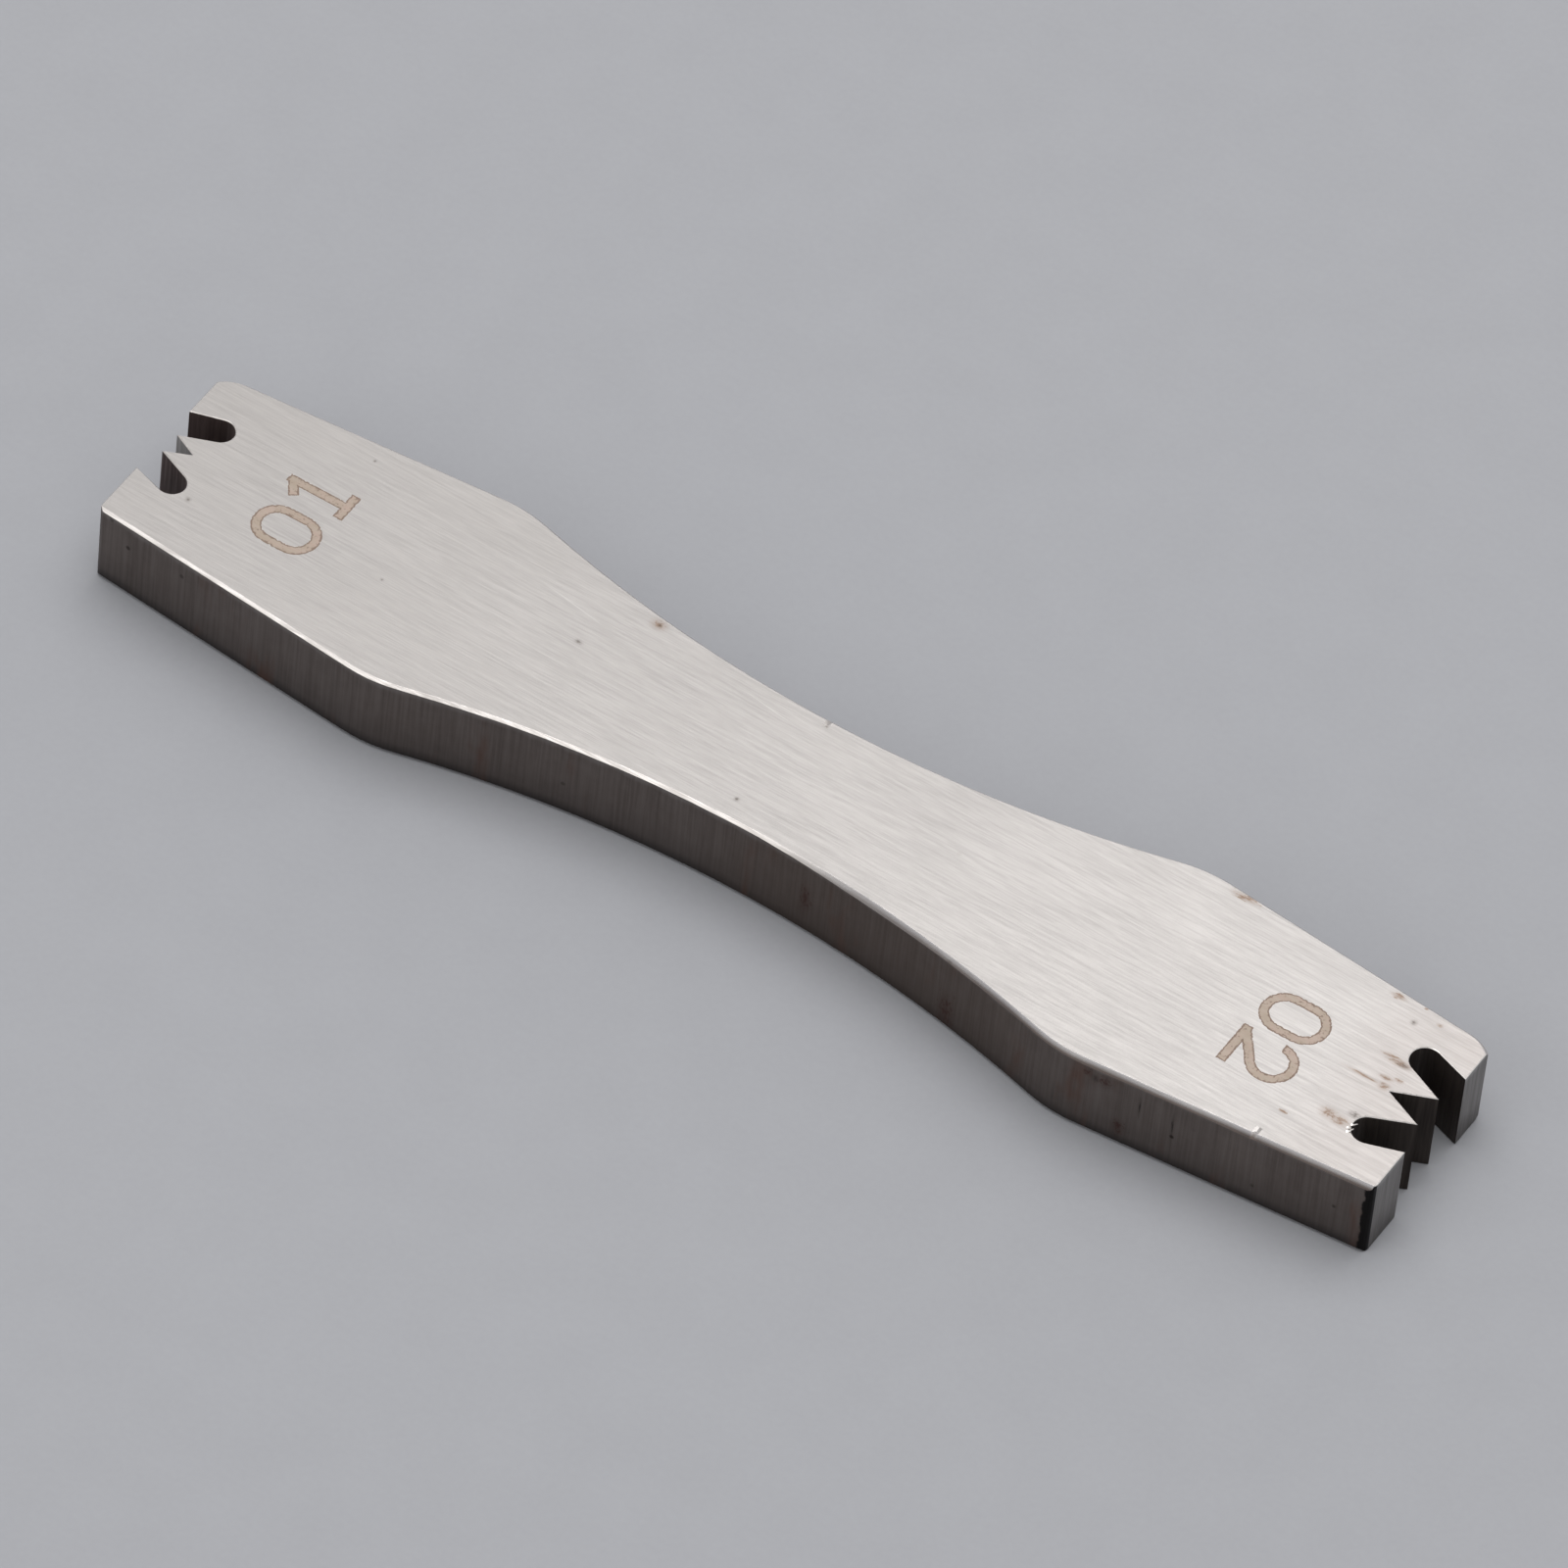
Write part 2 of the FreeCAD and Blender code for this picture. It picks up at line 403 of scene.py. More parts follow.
# %% Model the shreds
SHRED_ROOT = (0.30, 0.45, 1.0)
SHRED_STEP = (0.27, 0.05)
SHRED_PULLS = ((0.10, 0.75), (0.22, 0.70), (0.16, 0.45))
SHRED_THICK = 0.09


def burr_shred(title, place, heading, size):
    """One curled shred, with its root at place and pointing along heading in degrees."""
    take_up(plate)
    bpy.ops.object.select_all(action="DESELECT")
    bpy.ops.mesh.primitive_plane_add(size=1.0, location=(0, 0, 0))
    shred = bpy.context.object
    shred.name = title
    open_up(shred, "VERT")
    bpy.ops.mesh.select_all(action="SELECT")
    bpy.ops.transform.resize(value=SHRED_ROOT)
    bpy.ops.mesh.select_all(action="DESELECT")
    bpy.ops.mesh.select_mode(type="EDGE")
    choose(shred, "edges", lambda edge: all(point.co.x > 0.1 for point in edge.verts))
    for lift, shrink in SHRED_PULLS:
        bpy.ops.mesh.extrude_region_move(
            TRANSFORM_OT_translate={"value": (*SHRED_STEP, lift)}
        )
        bpy.ops.transform.resize(value=(1.0, shrink, 1.0))
    close_up()
    thick = shred.modifiers.new("sheet", "SOLIDIFY")
    thick.thickness = SHRED_THICK
    thick.offset = 0
    bpy.ops.object.modifier_apply(modifier="sheet")
    shred.data.transform(
        Matrix.Translation(place)
        @ Matrix.Rotation(math.radians(heading), 4, "Z")
        @ Matrix.Scale(size, 4)
    )
    return shred


SLOT_END = Vector((34.75 * MM, -3.05 * MM, TOP - 0.005 * MM))
NICK_TOP = Vector((30.80 * MM, -6.02 * MM, TOP - 0.04 * MM))
shreds = [
    burr_shred("shred_a", SLOT_END + Vector((-0.22, -0.30, 0)) * MM, 35, 0.34 * MM),
    burr_shred("shred_b", SLOT_END + Vector((-0.34, -0.05, 0)) * MM, -25, 0.26 * MM),
    burr_shred("shred_c", SLOT_END + Vector((-0.26, 0.22, 0)) * MM, 10, 0.30 * MM),
    burr_shred("shred_d", NICK_TOP, -12, 0.24 * MM),
]
print("shreds of", [len(shred.data.polygons) for shred in shreds], "faces")

# %% [markdown]
# ## Size numbers
#
# Each number is a skin of oxide left by a laser: tan inside, with a thin darker outline where the
# beam turned. The CAD node has the strokes. A copy of it gets a narrow ring inset along its
# outline, and a point attribute that is 1 on the outline and 0 inside lets the finish follow it.

# %% Inset the outline of each number
OUTLINE = 0.13 * MM


def size_number(node_name, piece_name):
    """A number with a ring of faces along its outline and the attribute rim on its points."""
    number = welded_copy(node_name, piece_name)
    open_up(number)
    tops = choose(number, "faces", lambda face: face.normal.z > FACES_UP)
    bpy.ops.mesh.inset(thickness=OUTLINE, depth=0, use_even_offset=True)
    close_up()
    sketch = bmesh.new()
    sketch.from_mesh(number.data)
    sketch.normal_update()
    inner = {
        point.index
        for point in sketch.verts
        if all(face.normal.z > FACES_UP for face in point.link_faces)
    }
    sketch.free()
    rim = number.data.attributes.new("rim", "FLOAT", "POINT")
    for point in number.data.vertices:
        rim.data[point.index].value = 0.0 if point.index in inner else 1.0
    print(piece_name, "has", tops, "top faces and", len(inner), "inner points")
    return number


number_large = size_number("size_mark_large_end", "size_number_large")
number_small = size_number("size_mark_small_end", "size_number_small")

# %% [markdown]
# ## Node helpers
#
# A finish is a small network of nodes. Short helpers keep it readable: one places a node and
# joins its inputs, and the others do a sum, mix tones, blend two colours or step smoothly between
# two values.

# %% Helpers for nodes
def join_inputs(tree, made, inputs):
    """Gives each named or numbered input a value, or a link from another node's output."""
    for name, value in inputs.items():
        if isinstance(value, bpy.types.NodeSocket):
            tree.links.new(value, made.inputs[name])
        else:
            made.inputs[name].default_value = value


def place_node(tree, kind, inputs, **settings):
    """Adds a node with its settings and inputs."""
    made = tree.nodes.new("ShaderNode" + kind)
    for name, value in settings.items():
        setattr(made, name, value)
    join_inputs(tree, made, inputs)
    return made


def sum_of(tree, operation, first, second=0.0):
    """The output of a Math node."""
    return place_node(tree, "Math", {0: first, 1: second}, operation=operation).outputs[0]


def mixed(tree, *shares):
    """The sum of several values, each times its share."""
    total = None
    for value, share in shares:
        part = sum_of(tree, "MULTIPLY", value, share)
        total = part if total is None else sum_of(tree, "ADD", total, part)
    return total


def blended(tree, share, first, second):
    """The colour that goes from first to second as share goes from 0 to 1."""
    made = place_node(tree, "Mix", {0: share, 6: first, 7: second}, data_type="RGBA")
    return made.outputs[2]


def painted(tree, mask, strength, skin, paint):
    """The skin with a paint laid over it where the mask is, at a strength up to 1."""
    return blended(tree, sum_of(tree, "MULTIPLY", mask, strength), skin, paint)


def stepped(tree, value, start, end, low_value=0.0, high_value=1.0):
    """A smooth step of value between start and end."""
    made = place_node(
        tree, "MapRange",
        {0: value, 1: start, 2: end, 3: low_value, 4: high_value},
        interpolation_type="SMOOTHSTEP",
    )
    return made.outputs[0]


def noise(tree, where, scale, detail, roughness=0.5):
    """Noise with so many grains to the metre, from 0 to 1 and mostly near 0.5."""
    made = place_node(
        tree, "TexNoise",
        {"Vector": where, "Scale": scale, "Detail": detail, "Roughness": roughness},
    )
    return made.outputs[0]


def centred(tree, value):
    """Noise moved down so that it swings round 0."""
    return sum_of(tree, "SUBTRACT", value, 0.5)


def vector_sum(tree, operation, first, second):
    """The output of a Vector Math node."""
    return place_node(tree, "VectorMath", {0: first, 1: second}, operation=operation).outputs[0]


def split(tree, where):
    """The X, Y and Z of a place."""
    return place_node(tree, "SeparateXYZ", {0: where}).outputs


def colour(red, green, blue):
    """A colour in the form that sockets take."""
    return (red, green, blue, 1.0)


# %% Helpers for node groups
def new_group(title, inputs, outputs):
    """An empty node group with named sockets, and its input and output nodes."""
    tree = bpy.data.node_groups.new(title, "ShaderNodeTree")
    for name, kind, value in inputs:
        socket = tree.interface.new_socket(name, in_out="INPUT", socket_type="NodeSocket" + kind)
        if value is not None:
            socket.default_value = value
    for name, kind in outputs:
        tree.interface.new_socket(name, in_out="OUTPUT", socket_type="NodeSocket" + kind)
    gin = tree.nodes.new("NodeGroupInput").outputs
    gout = tree.nodes.new("NodeGroupOutput").inputs
    return tree, gin, gout


def use_group(tree, group, inputs):
    """Places a node group in a material."""
    made = tree.nodes.new("ShaderNodeGroup")
    made.node_tree = group
    join_inputs(tree, made, inputs)
    return made.outputs


# %% [markdown]
# ## Shared effects
#
# Four effects turn up in more than one finish, so each is a node group: fine parallel lines, a
# stain at a chosen spot, scattered specks, and a lighter band below a rim, which is wear on the
# end faces and a painted highlight on the flanks. They put out only masks and heights. Every one
# reads the object's own coordinates, in metres, so a line 0.1 mm wide needs about 10,000 lines to
# the metre.

# %% Group: parallel lines, along X for a belt and along Z for a wire
lines_group, gin, gout = new_group(
    "parallel_lines",
    [
        ("Coordinates", "Vector", None),
        ("Lines per metre", "Vector", None),
        ("Turn", "Vector", None),
    ],
    [("Tone", "Float"), ("Height", "Float")],
)
turned = place_node(
    lines_group, "VectorRotate", {"Vector": gin["Coordinates"], "Rotation": gin["Turn"]},
    rotation_type="EULER_XYZ",
).outputs[0]
spread = vector_sum(lines_group, "MULTIPLY", turned, gin["Lines per metre"])
grooves = noise(lines_group, spread, 1.0, 3.0, 0.6)
lines_group.links.new(stepped(lines_group, grooves, 0.25, 0.75), gout["Tone"])
lines_group.links.new(grooves, gout["Height"])
print("group", lines_group.name)


def lined(tree, where, per_metre, turn=0.0):
    """Parallel lines: how many to the metre along each axis, turned by some degrees."""
    return use_group(
        tree, lines_group,
        {
            "Coordinates": where,
            "Lines per metre": per_metre,
            "Turn": (0, 0, math.radians(turn)),
        },
    )


# %% [markdown]
# A stain has a ragged core, where noise pushes its edge in and out, and a faint round halo. Its
# stretch is less than 1 along an axis on which it is drawn out.

# %% Group: a stain at one spot
stain_group, gin, gout = new_group(
    "stain_at_spot",
    [
        ("Coordinates", "Vector", None),
        ("Spot", "Vector", None),
        ("Radius", "Float", 0.5 * MM),
        ("Raggedness", "Float", 0.5),
        ("Stretch", "Vector", (1, 1, 1)),
    ],
    [("Mask", "Float")],
)
HALO_STRENGTH = 0.40
FRAY_GRAINS = 6200.0
FRAY_SWING = 3.6
away = vector_sum(stain_group, "SUBTRACT", gin["Coordinates"], gin["Spot"])
away = vector_sum(stain_group, "MULTIPLY", away, gin["Stretch"])
reach = place_node(stain_group, "VectorMath", {0: away}, operation="LENGTH").outputs["Value"]
share = sum_of(stain_group, "DIVIDE", reach, gin["Radius"])
halo = stepped(stain_group, share, 1.7, 0.2, 0.0, HALO_STRENGTH)
grown = vector_sum(stain_group, "MULTIPLY", gin["Coordinates"], gin["Stretch"])
fray = centred(stain_group, noise(stain_group, grown, FRAY_GRAINS, 4.0, 0.65))
fray = sum_of(stain_group, "MULTIPLY", fray, gin["Raggedness"])
fray = sum_of(stain_group, "MULTIPLY", fray, FRAY_SWING)
share = sum_of(stain_group, "ADD", share, fray)
core = stepped(stain_group, share, 1.10, -0.05)
stain_group.links.new(sum_of(stain_group, "MAXIMUM", core, halo), gout["Mask"])
print("group", stain_group.name)


def spots_mask(tree, where, spots):
    """One mask for a list of stains: place, radius, raggedness and stretch along x and z."""
    mask = None
    for x, y, z, radius, raggedness, draw_x, draw_z in spots:
        spot = use_group(
            tree, stain_group,
            {
                "Coordinates": where,
                "Spot": (x * MM, y * MM, z * MM),
                "Radius": radius * MM,
                "Raggedness": raggedness,
                "Stretch": (draw_x, 1, draw_z),
            },
        )["Mask"]
        mask = spot if mask is None else sum_of(tree, "MAXIMUM", mask, spot)
    return mask


# %% Group: scattered specks
speck_group, gin, gout = new_group(
    "scattered_specks",
    [
        ("Coordinates", "Vector", None),
        ("Cells per metre", "Float", 400.0),
        ("Size", "Float", 0.06),
        ("Share", "Float", 0.2),
    ],
    [("Mask", "Float")],
)
cells = place_node(
    speck_group, "TexVoronoi", {"Vector": gin["Coordinates"], "Scale": gin["Cells per metre"]}
).outputs
reach = sum_of(speck_group, "DIVIDE", cells["Distance"], gin["Size"])
dot = stepped(speck_group, reach, 1.0, 0.5)
picked = place_node(speck_group, "SeparateColor", {0: cells["Color"]}).outputs
chosen = sum_of(speck_group, "LESS_THAN", picked[0], gin["Share"])
fade = sum_of(speck_group, "MULTIPLY", chosen, picked[1])
speck_group.links.new(sum_of(speck_group, "MULTIPLY", dot, fade), gout["Mask"])
print("group", speck_group.name)


def specks(tree, where, per_metre, size, share):
    """A mask of specks: cells to the metre, a speck's share of its cell, and how many cells."""
    return use_group(
        tree, speck_group,
        {"Coordinates": where, "Cells per metre": per_metre, "Size": size, "Share": share},
    )["Mask"]


# %% Group: wear and painted highlight in a band below the top rim
rim_band_group, gin, gout = new_group(
    "wear_and_highlight_rim_band",
    [
        ("Coordinates", "Vector", None),
        ("Level", "Float", TOP),
        ("Width", "Float", 0.4 * MM),
        ("Raggedness", "Float", 0.5),
    ],
    [("Mask", "Float")],
)
PATCH_SWING = 3.0
below = sum_of(rim_band_group, "SUBTRACT", gin["Level"], split(rim_band_group, gin["Coordinates"])["Z"])
below = sum_of(rim_band_group, "DIVIDE", sum_of(rim_band_group, "ABSOLUTE", below), gin["Width"])
patch = centred(rim_band_group, noise(rim_band_group, gin["Coordinates"], 900.0, 3.0))
patch = sum_of(rim_band_group, "MULTIPLY", patch, PATCH_SWING)
patch = sum_of(rim_band_group, "MULTIPLY", patch, gin["Raggedness"])
below = sum_of(rim_band_group, "ADD", below, patch)
rim_band_group.links.new(stepped(rim_band_group, below, 1.0, 0.2), gout["Mask"])
print("group", rim_band_group.name)


def worn_and_highlighted_rim(tree, where, width, raggedness):
    """A mask of the band below the top rim, for wear and for painted highlight."""
    return use_group(
        tree, rim_band_group,
        {"Coordinates": where, "Level": TOP, "Width": width, "Raggedness": raggedness},
    )["Mask"]


# %% [markdown]
# ## A start for every finish
#
# Each finish is one material: a Principled shader whose steady numbers are typed into its own
# sockets, and whose colour, roughness and bump come from the groups.

# %% Helpers for a new finish
RELIEF = 0.02 * MM
FINE_RELIEF = 0.015 * MM


def new_finish(title, **steady):
    """A material with one Principled shader, and its Object coordinates."""
    finish = bpy.data.materials.new(title)
    finish.use_nodes = True
    tree = finish.node_tree
    shader = tree.nodes["Principled BSDF"]
    for name, value in steady.items():
        shader.inputs[name].default_value = value
    where = tree.nodes.new("ShaderNodeTexCoord").outputs["Object"]
    return finish, tree, shader, where


def feed(tree, shader, socket, value):
    """Joins a value that changes over the surface to a socket of the shader."""
    tree.links.new(value, shader.inputs[socket])


def vary_roughness(tree, shader, tone, at_dark, at_light):
    """Makes the roughness follow the tone, from its darkest to its lightest."""
    feed(tree, shader, "Roughness", stepped(tree, tone, 0.0, 1.0, at_dark, at_light))


def add_bump(tree, shader, height, strength, distance):
    """Presses a height into the surface."""
    made = place_node(
        tree, "Bump", {"Height": height, "Strength": strength, "Distance": distance}
    )
    feed(tree, shader, "Normal", made.outputs[0])


# %% [markdown]
# ## Linished top and bottom
#
# The flat faces were run along a belt, which leaves fine lines along the length and a satin shine.
# Two sets of lines a degree or two apart look more like belt work than one set does, and a few
# sparse scratches lie across both. Over the years small rust blooms have come up round the larger
# mouth, where the steel has dulled a little, and a few dark specks elsewhere.

# %% Where the stains are
# In mm: x, y, radius, raggedness and how far they are drawn out along the lines.
RUST_SPOTS = (
    (34.48, 0.22, 0.26, 0.8, 0.9),
    (33.30, 0.22, 0.10, 1.1, 0.11),
    (34.30, 0.75, 0.15, 1.2, 0.45),
    (34.35, 1.95, 0.22, 1.2, 0.35),
    (33.75, 2.10, 0.13, 1.4, 0.30),
    (33.85, -2.95, 0.30, 1.0, 0.6),
    (33.20, -2.85, 0.32, 1.1, 0.7),
    (32.10, 5.60, 0.16, 1.6, 0.4),
    (33.60, 5.75, 0.09, 1.0, 0.8),
    (34.70, 5.20, 0.10, 1.2, 0.6),
    (31.30, -4.10, 0.10, 1.3, 0.5),
    (34.90, 0.95, 0.12, 1.2, 0.5),
    (22.60, 6.60, 0.22, 1.6, 0.3),
    (-10.57, 4.47, 0.34, 0.6, 0.8),
)
DARK_SPOTS = (
    (33.56, 4.60, 0.17, 0.5, 1.0),
    (34.30, -2.20, 0.20, 1.0, 0.6),
    (34.62, 1.90, 0.16, 1.0, 0.5),
    (-10.52, 4.44, 0.12, 0.6, 1.0),
    (-1.19, -2.96, 0.15, 0.4, 1.0),
    (-34.20, -2.56, 0.16, 0.3, 1.0),
    (-28.09, 5.20, 0.10, 0.5, 1.0),
    (-23.39, -1.27, 0.10, 0.5, 1.0),
    (-13.20, 1.10, 0.13, 0.8, 0.6),
)
print("top face:", len(RUST_SPOTS), "rust blooms and", len(DARK_SPOTS), "dark spots to place")


def on_top(spots):
    """Stains of the top face, given without their height."""
    return [(x, y, TOP / MM, radius, ragged, draw, 1.0) for x, y, radius, ragged, draw in spots]


# %% Finish: linished steel
STEEL_DARK = colour(0.312, 0.299, 0.293)
STEEL_LIGHT = colour(0.455, 0.436, 0.428)
SCRATCH_BRIGHT = colour(0.54, 0.525, 0.515)
HAZE_BROWN = colour(0.29, 0.235, 0.215)
RUST_BROWN = colour(0.19, 0.107, 0.058)
SPOT_DARK = colour(0.075, 0.055, 0.045)
SPECK_GREY = colour(0.22, 0.19, 0.165)
HAZE_FROM = 30.5 * MM
HAZE_FULL = 35.0 * MM

linished, tree, shader, where = new_finish("linished_steel")
fine = lined(tree, where, (520, 9500, 100), 1.2)
coarse = lined(tree, where, (240, 5200, 100), -1.6)
cloud = noise(tree, where, 160.0, 2.0)
tone = mixed(tree, (fine["Tone"], 0.46), (coarse["Tone"], 0.19), (cloud, 0.35))
skin = blended(tree, tone, STEEL_DARK, STEEL_LIGHT)
scratches = lined(tree, where, (60, 3800, 100), 9)["Height"]
skin = blended(tree, stepped(tree, scratches, 0.70, 0.78, 0.0, 0.5), skin, SCRATCH_BRIGHT)
haze = stepped(tree, split(tree, where)["X"], HAZE_FROM, HAZE_FULL, 0.0, 0.36)
skin = blended(tree, sum_of(tree, "MULTIPLY", haze, cloud), skin, HAZE_BROWN)
rust = spots_mask(tree, where, on_top(RUST_SPOTS))
dark = spots_mask(tree, where, on_top(DARK_SPOTS))
skin = painted(tree, rust, 0.82, skin, RUST_BROWN)
skin = painted(tree, dark, 0.8, skin, SPOT_DARK)
skin = painted(tree, specks(tree, where, 420.0, 0.07, 0.16), 0.55, skin, SPECK_GREY)
feed(tree, shader, "Base Color", skin)
vary_roughness(tree, shader, tone, 0.40, 0.31)
stained = sum_of(tree, "MULTIPLY", sum_of(tree, "MAXIMUM", rust, dark), 0.7)
feed(tree, shader, "Metallic", sum_of(tree, "SUBTRACT", 1.0, stained))
height = sum_of(tree, "ADD", fine["Height"], sum_of(tree, "MULTIPLY", coarse["Height"], 0.8))
add_bump(tree, shader, height, 0.22, RELIEF)
print("finish", linished.name)

# %% [markdown]
# ## Wire-cut flanks
#
# The cutting wire stands upright and leaves fine lines from top to bottom, under a dark brown-grey
# skin of remelted steel. The skin is browner along the middle of the tool. Painted shade darkens
# it towards the foot, a painted contact shadow lies right at the foot, and a painted highlight
# lightens a band just below the top. Brown blooms and upright ticks lie on the near side, and a
# painted dark reflection blackens one corner of the near side, at the larger end.

# %% Where the marks of the near flank are
# In mm: x, y, z, radius, raggedness and stretch along x and z.
FLANK_BLOOMS = (
    (22.9, -6.95, 4.05, 0.42, 1.0, 1.0, 1.0),
    (22.0, -7.03, 4.20, 0.24, 1.2, 1.0, 1.0),
    (23.9, -6.86, 1.20, 0.35, 1.5, 1.0, 0.6),
    (13.0, -5.51, 1.10, 0.45, 1.6, 1.0, 0.4),
    (4.0, -4.41, 2.40, 0.30, 1.5, 1.0, 0.3),
)
FLANK_TICKS = (
    (20.2, -7.19, 1.30, 0.16, 0.8, 1.6, 0.20),
    (24.9, -6.77, 3.30, 0.13, 0.8, 1.7, 0.18),
    (26.7, -6.61, 3.00, 0.13, 0.8, 1.7, 0.14),
    (22.4, -7.00, 4.00, 0.18, 0.8, 1.0, 0.7),
)
# Heights of the painted shade and the painted contact shadow at the foot, the middle and
# half-width of the brown tint, the band of painted highlight, and the place of the painted dark
# reflection.
SHADE_TOP = 3.0 * MM
FOOT_LINE = 0.05 * MM
FOOT_TOP = 1.00 * MM
TINT_CENTRE = 9.0 * MM
TINT_HALF = 13.0 * MM
RIM_HIGHLIGHT_BAND = 0.55 * MM
REFLECTION_FROM = 37.22 * MM
REFLECTION_FULL = 37.34 * MM
REFLECTION_FRAY = 0.5 * MM
print("near flank:", len(FLANK_BLOOMS), "blooms and", len(FLANK_TICKS), "ticks to place")

# %% Finish: wire-cut flank
WIRE_DARK = colour(0.094, 0.076, 0.070)
WIRE_LIGHT = colour(0.182, 0.157, 0.145)
# Painted shade, darker towards the foot.
SHADE_GREY = colour(0.070, 0.060, 0.058)
# Painted contact shadow right at the foot.
FOOT_SHADOW_BLACK = colour(0.022, 0.020, 0.021)
TINT_BROWN = colour(0.088, 0.063, 0.050)
BLOTCH_RED = colour(0.120, 0.066, 0.050)
PIT_BLACK = colour(0.03, 0.022, 0.018)
BLOOM_RED = colour(0.062, 0.024, 0.019)
TICK_BLACK = colour(0.018, 0.014, 0.013)
# Painted highlight in a band just below the top.
RIM_HIGHLIGHT_GREY = colour(0.34, 0.32, 0.31)
# Painted dark reflection: a black band on the near corner at the larger end.
PAINTED_REFLECTION_BLACK = colour(0.006, 0.005, 0.005)

flank, tree, shader, where = new_finish("wire_cut_flank", Metallic=0.9)
at = split(tree, where)
lines = lined(tree, where, (5200, 5200, 160))
bands = lined(tree, where, (700, 700, 60))
mottle = noise(tree, where, 1100.0, 3.0)
tone = mixed(tree, (lines["Tone"], 0.42), (bands["Tone"], 0.20), (mottle, 0.38))
skin = blended(tree, tone, WIRE_DARK, WIRE_LIGHT)
# Painted shade: darker towards the foot, over the lowest 3 mm.
skin = blended(tree, stepped(tree, at["Z"], 0.0, SHADE_TOP, 0.45, 0.0), skin, SHADE_GREY)
# Painted contact shadow: nearly black at the foot, gone 1 mm up.
skin = blended(tree, stepped(tree, at["Z"], FOOT_LINE, FOOT_TOP, 0.78, 0.0), skin, FOOT_SHADOW_BLACK)
from_tint = sum_of(tree, "ABSOLUTE", sum_of(tree, "SUBTRACT", at["X"], TINT_CENTRE))
tint = stepped(tree, from_tint, TINT_HALF, 0.4 * TINT_HALF, 0.0, 0.42)
skin = blended(tree, tint, skin, TINT_BROWN)
blotch = lined(tree, where, (430, 430, 130))["Height"]
skin = blended(tree, stepped(tree, blotch, 0.56, 0.76, 0.0, 0.8), skin, BLOTCH_RED)
skin = blended(tree, specks(tree, where, 900.0, 0.16, 0.12), skin, PIT_BLACK)
skin = painted(tree, spots_mask(tree, where, FLANK_BLOOMS), 0.75, skin, BLOOM_RED)
skin = painted(tree, spots_mask(tree, where, FLANK_TICKS), 0.9, skin, TICK_BLACK)
# Painted highlight: a lighter band just below the top.
skin = painted(tree, worn_and_highlighted_rim(tree, where, RIM_HIGHLIGHT_BAND, 0.35), 0.35, skin, RIM_HIGHLIGHT_GREY)
# Painted dark reflection: a ragged black band close to the end, on the near side only.
ragged = sum_of(tree, "MULTIPLY", noise(tree, where, 1500.0, 3.0), REFLECTION_FRAY)
painted_reflection = stepped(tree, sum_of(tree, "ADD", at["X"], ragged), REFLECTION_FROM, REFLECTION_FULL)
near_side = sum_of(tree, "LESS_THAN", at["Y"], 0.0)
skin = painted(tree, painted_reflection, near_side, skin, PAINTED_REFLECTION_BLACK)
feed(tree, shader, "Base Color", skin)
vary_roughness(tree, shader, tone, 0.58, 0.42)
height = sum_of(tree, "ADD", lines["Height"], sum_of(tree, "MULTIPLY", bands["Height"], 1.5))
add_bump(tree, shader, height, 0.35, RELIEF)
print("finish", flank.name)

# %% [markdown]
# ## End faces, mouths and broken edges
#
# The end faces were cleaned with the belt and are mid grey, darker towards the foot with grime and
# painted shade. The mouth walls were never touched, and are painted darkest as the shade of the
# recess, a little browner in the smaller mouth, whose middle notch alone was cleaned.

# %% Finish: end face
END_DARK = colour(0.168, 0.159, 0.154)
END_LIGHT = colour(0.277, 0.263, 0.255)
# Grime and painted shade towards the foot.
END_GRIME_AND_SHADE = colour(0.085, 0.075, 0.072)
END_WORN = colour(0.52, 0.51, 0.50)
END_WORN_BAND = 0.5 * MM
# Where the grime and painted shade are full and where they fade out, and how smudged their edge
# is.
GRIME_AND_SHADE_FULL = -1.0 * MM
GRIME_AND_SHADE_NONE = 0.9 * MM
GRIME_AND_SHADE_SWING = -2.4 * MM

end_face, tree, shader, where = new_finish("cleaned_end_face", Metallic=1.0)
lines = lined(tree, where, (4200, 4200, 150))
smudge = noise(tree, where, 700.0, 4.0)
tone = mixed(tree, (lines["Tone"], 0.5), (smudge, 0.5))
skin = blended(tree, tone, END_DARK, END_LIGHT)
# Grime and painted shade: darker towards the foot, with a smudged edge.
uneven = sum_of(tree, "MULTIPLY", smudge, GRIME_AND_SHADE_SWING)
uneven = sum_of(tree, "ADD", split(tree, where)["Z"], uneven)
skin = blended(tree, stepped(tree, uneven, GRIME_AND_SHADE_FULL, GRIME_AND_SHADE_NONE, 0.6, 0.0), skin, END_GRIME_AND_SHADE)
skin = painted(tree, worn_and_highlighted_rim(tree, where, END_WORN_BAND, 0.4), 0.5, skin, END_WORN)
feed(tree, shader, "Base Color", skin)
vary_roughness(tree, shader, lines["Tone"], 0.48, 0.38)
add_bump(tree, shader, lines["Height"], 0.3, RELIEF)
print("finish", end_face.name)

# %% Finish: mouth wall
# The mouth walls are painted near black: painted shade of the recess.
MOUTH_SHADED_DARK = colour(0.024, 0.018, 0.016)
MOUTH_SHADED_LIGHT = colour(0.056, 0.045, 0.039)
BROWN_DARK = colour(0.048, 0.031, 0.029)
BROWN_LIGHT = colour(0.092, 0.064, 0.059)
CLEAN_DARK = colour(0.21, 0.205, 0.20)
CLEAN_LIGHT = colour(0.31, 0.30, 0.295)
SMALL_NOTCH_CENTRE = 0.10 * MM
SMALL_NOTCH_HALF = 0.68 * MM

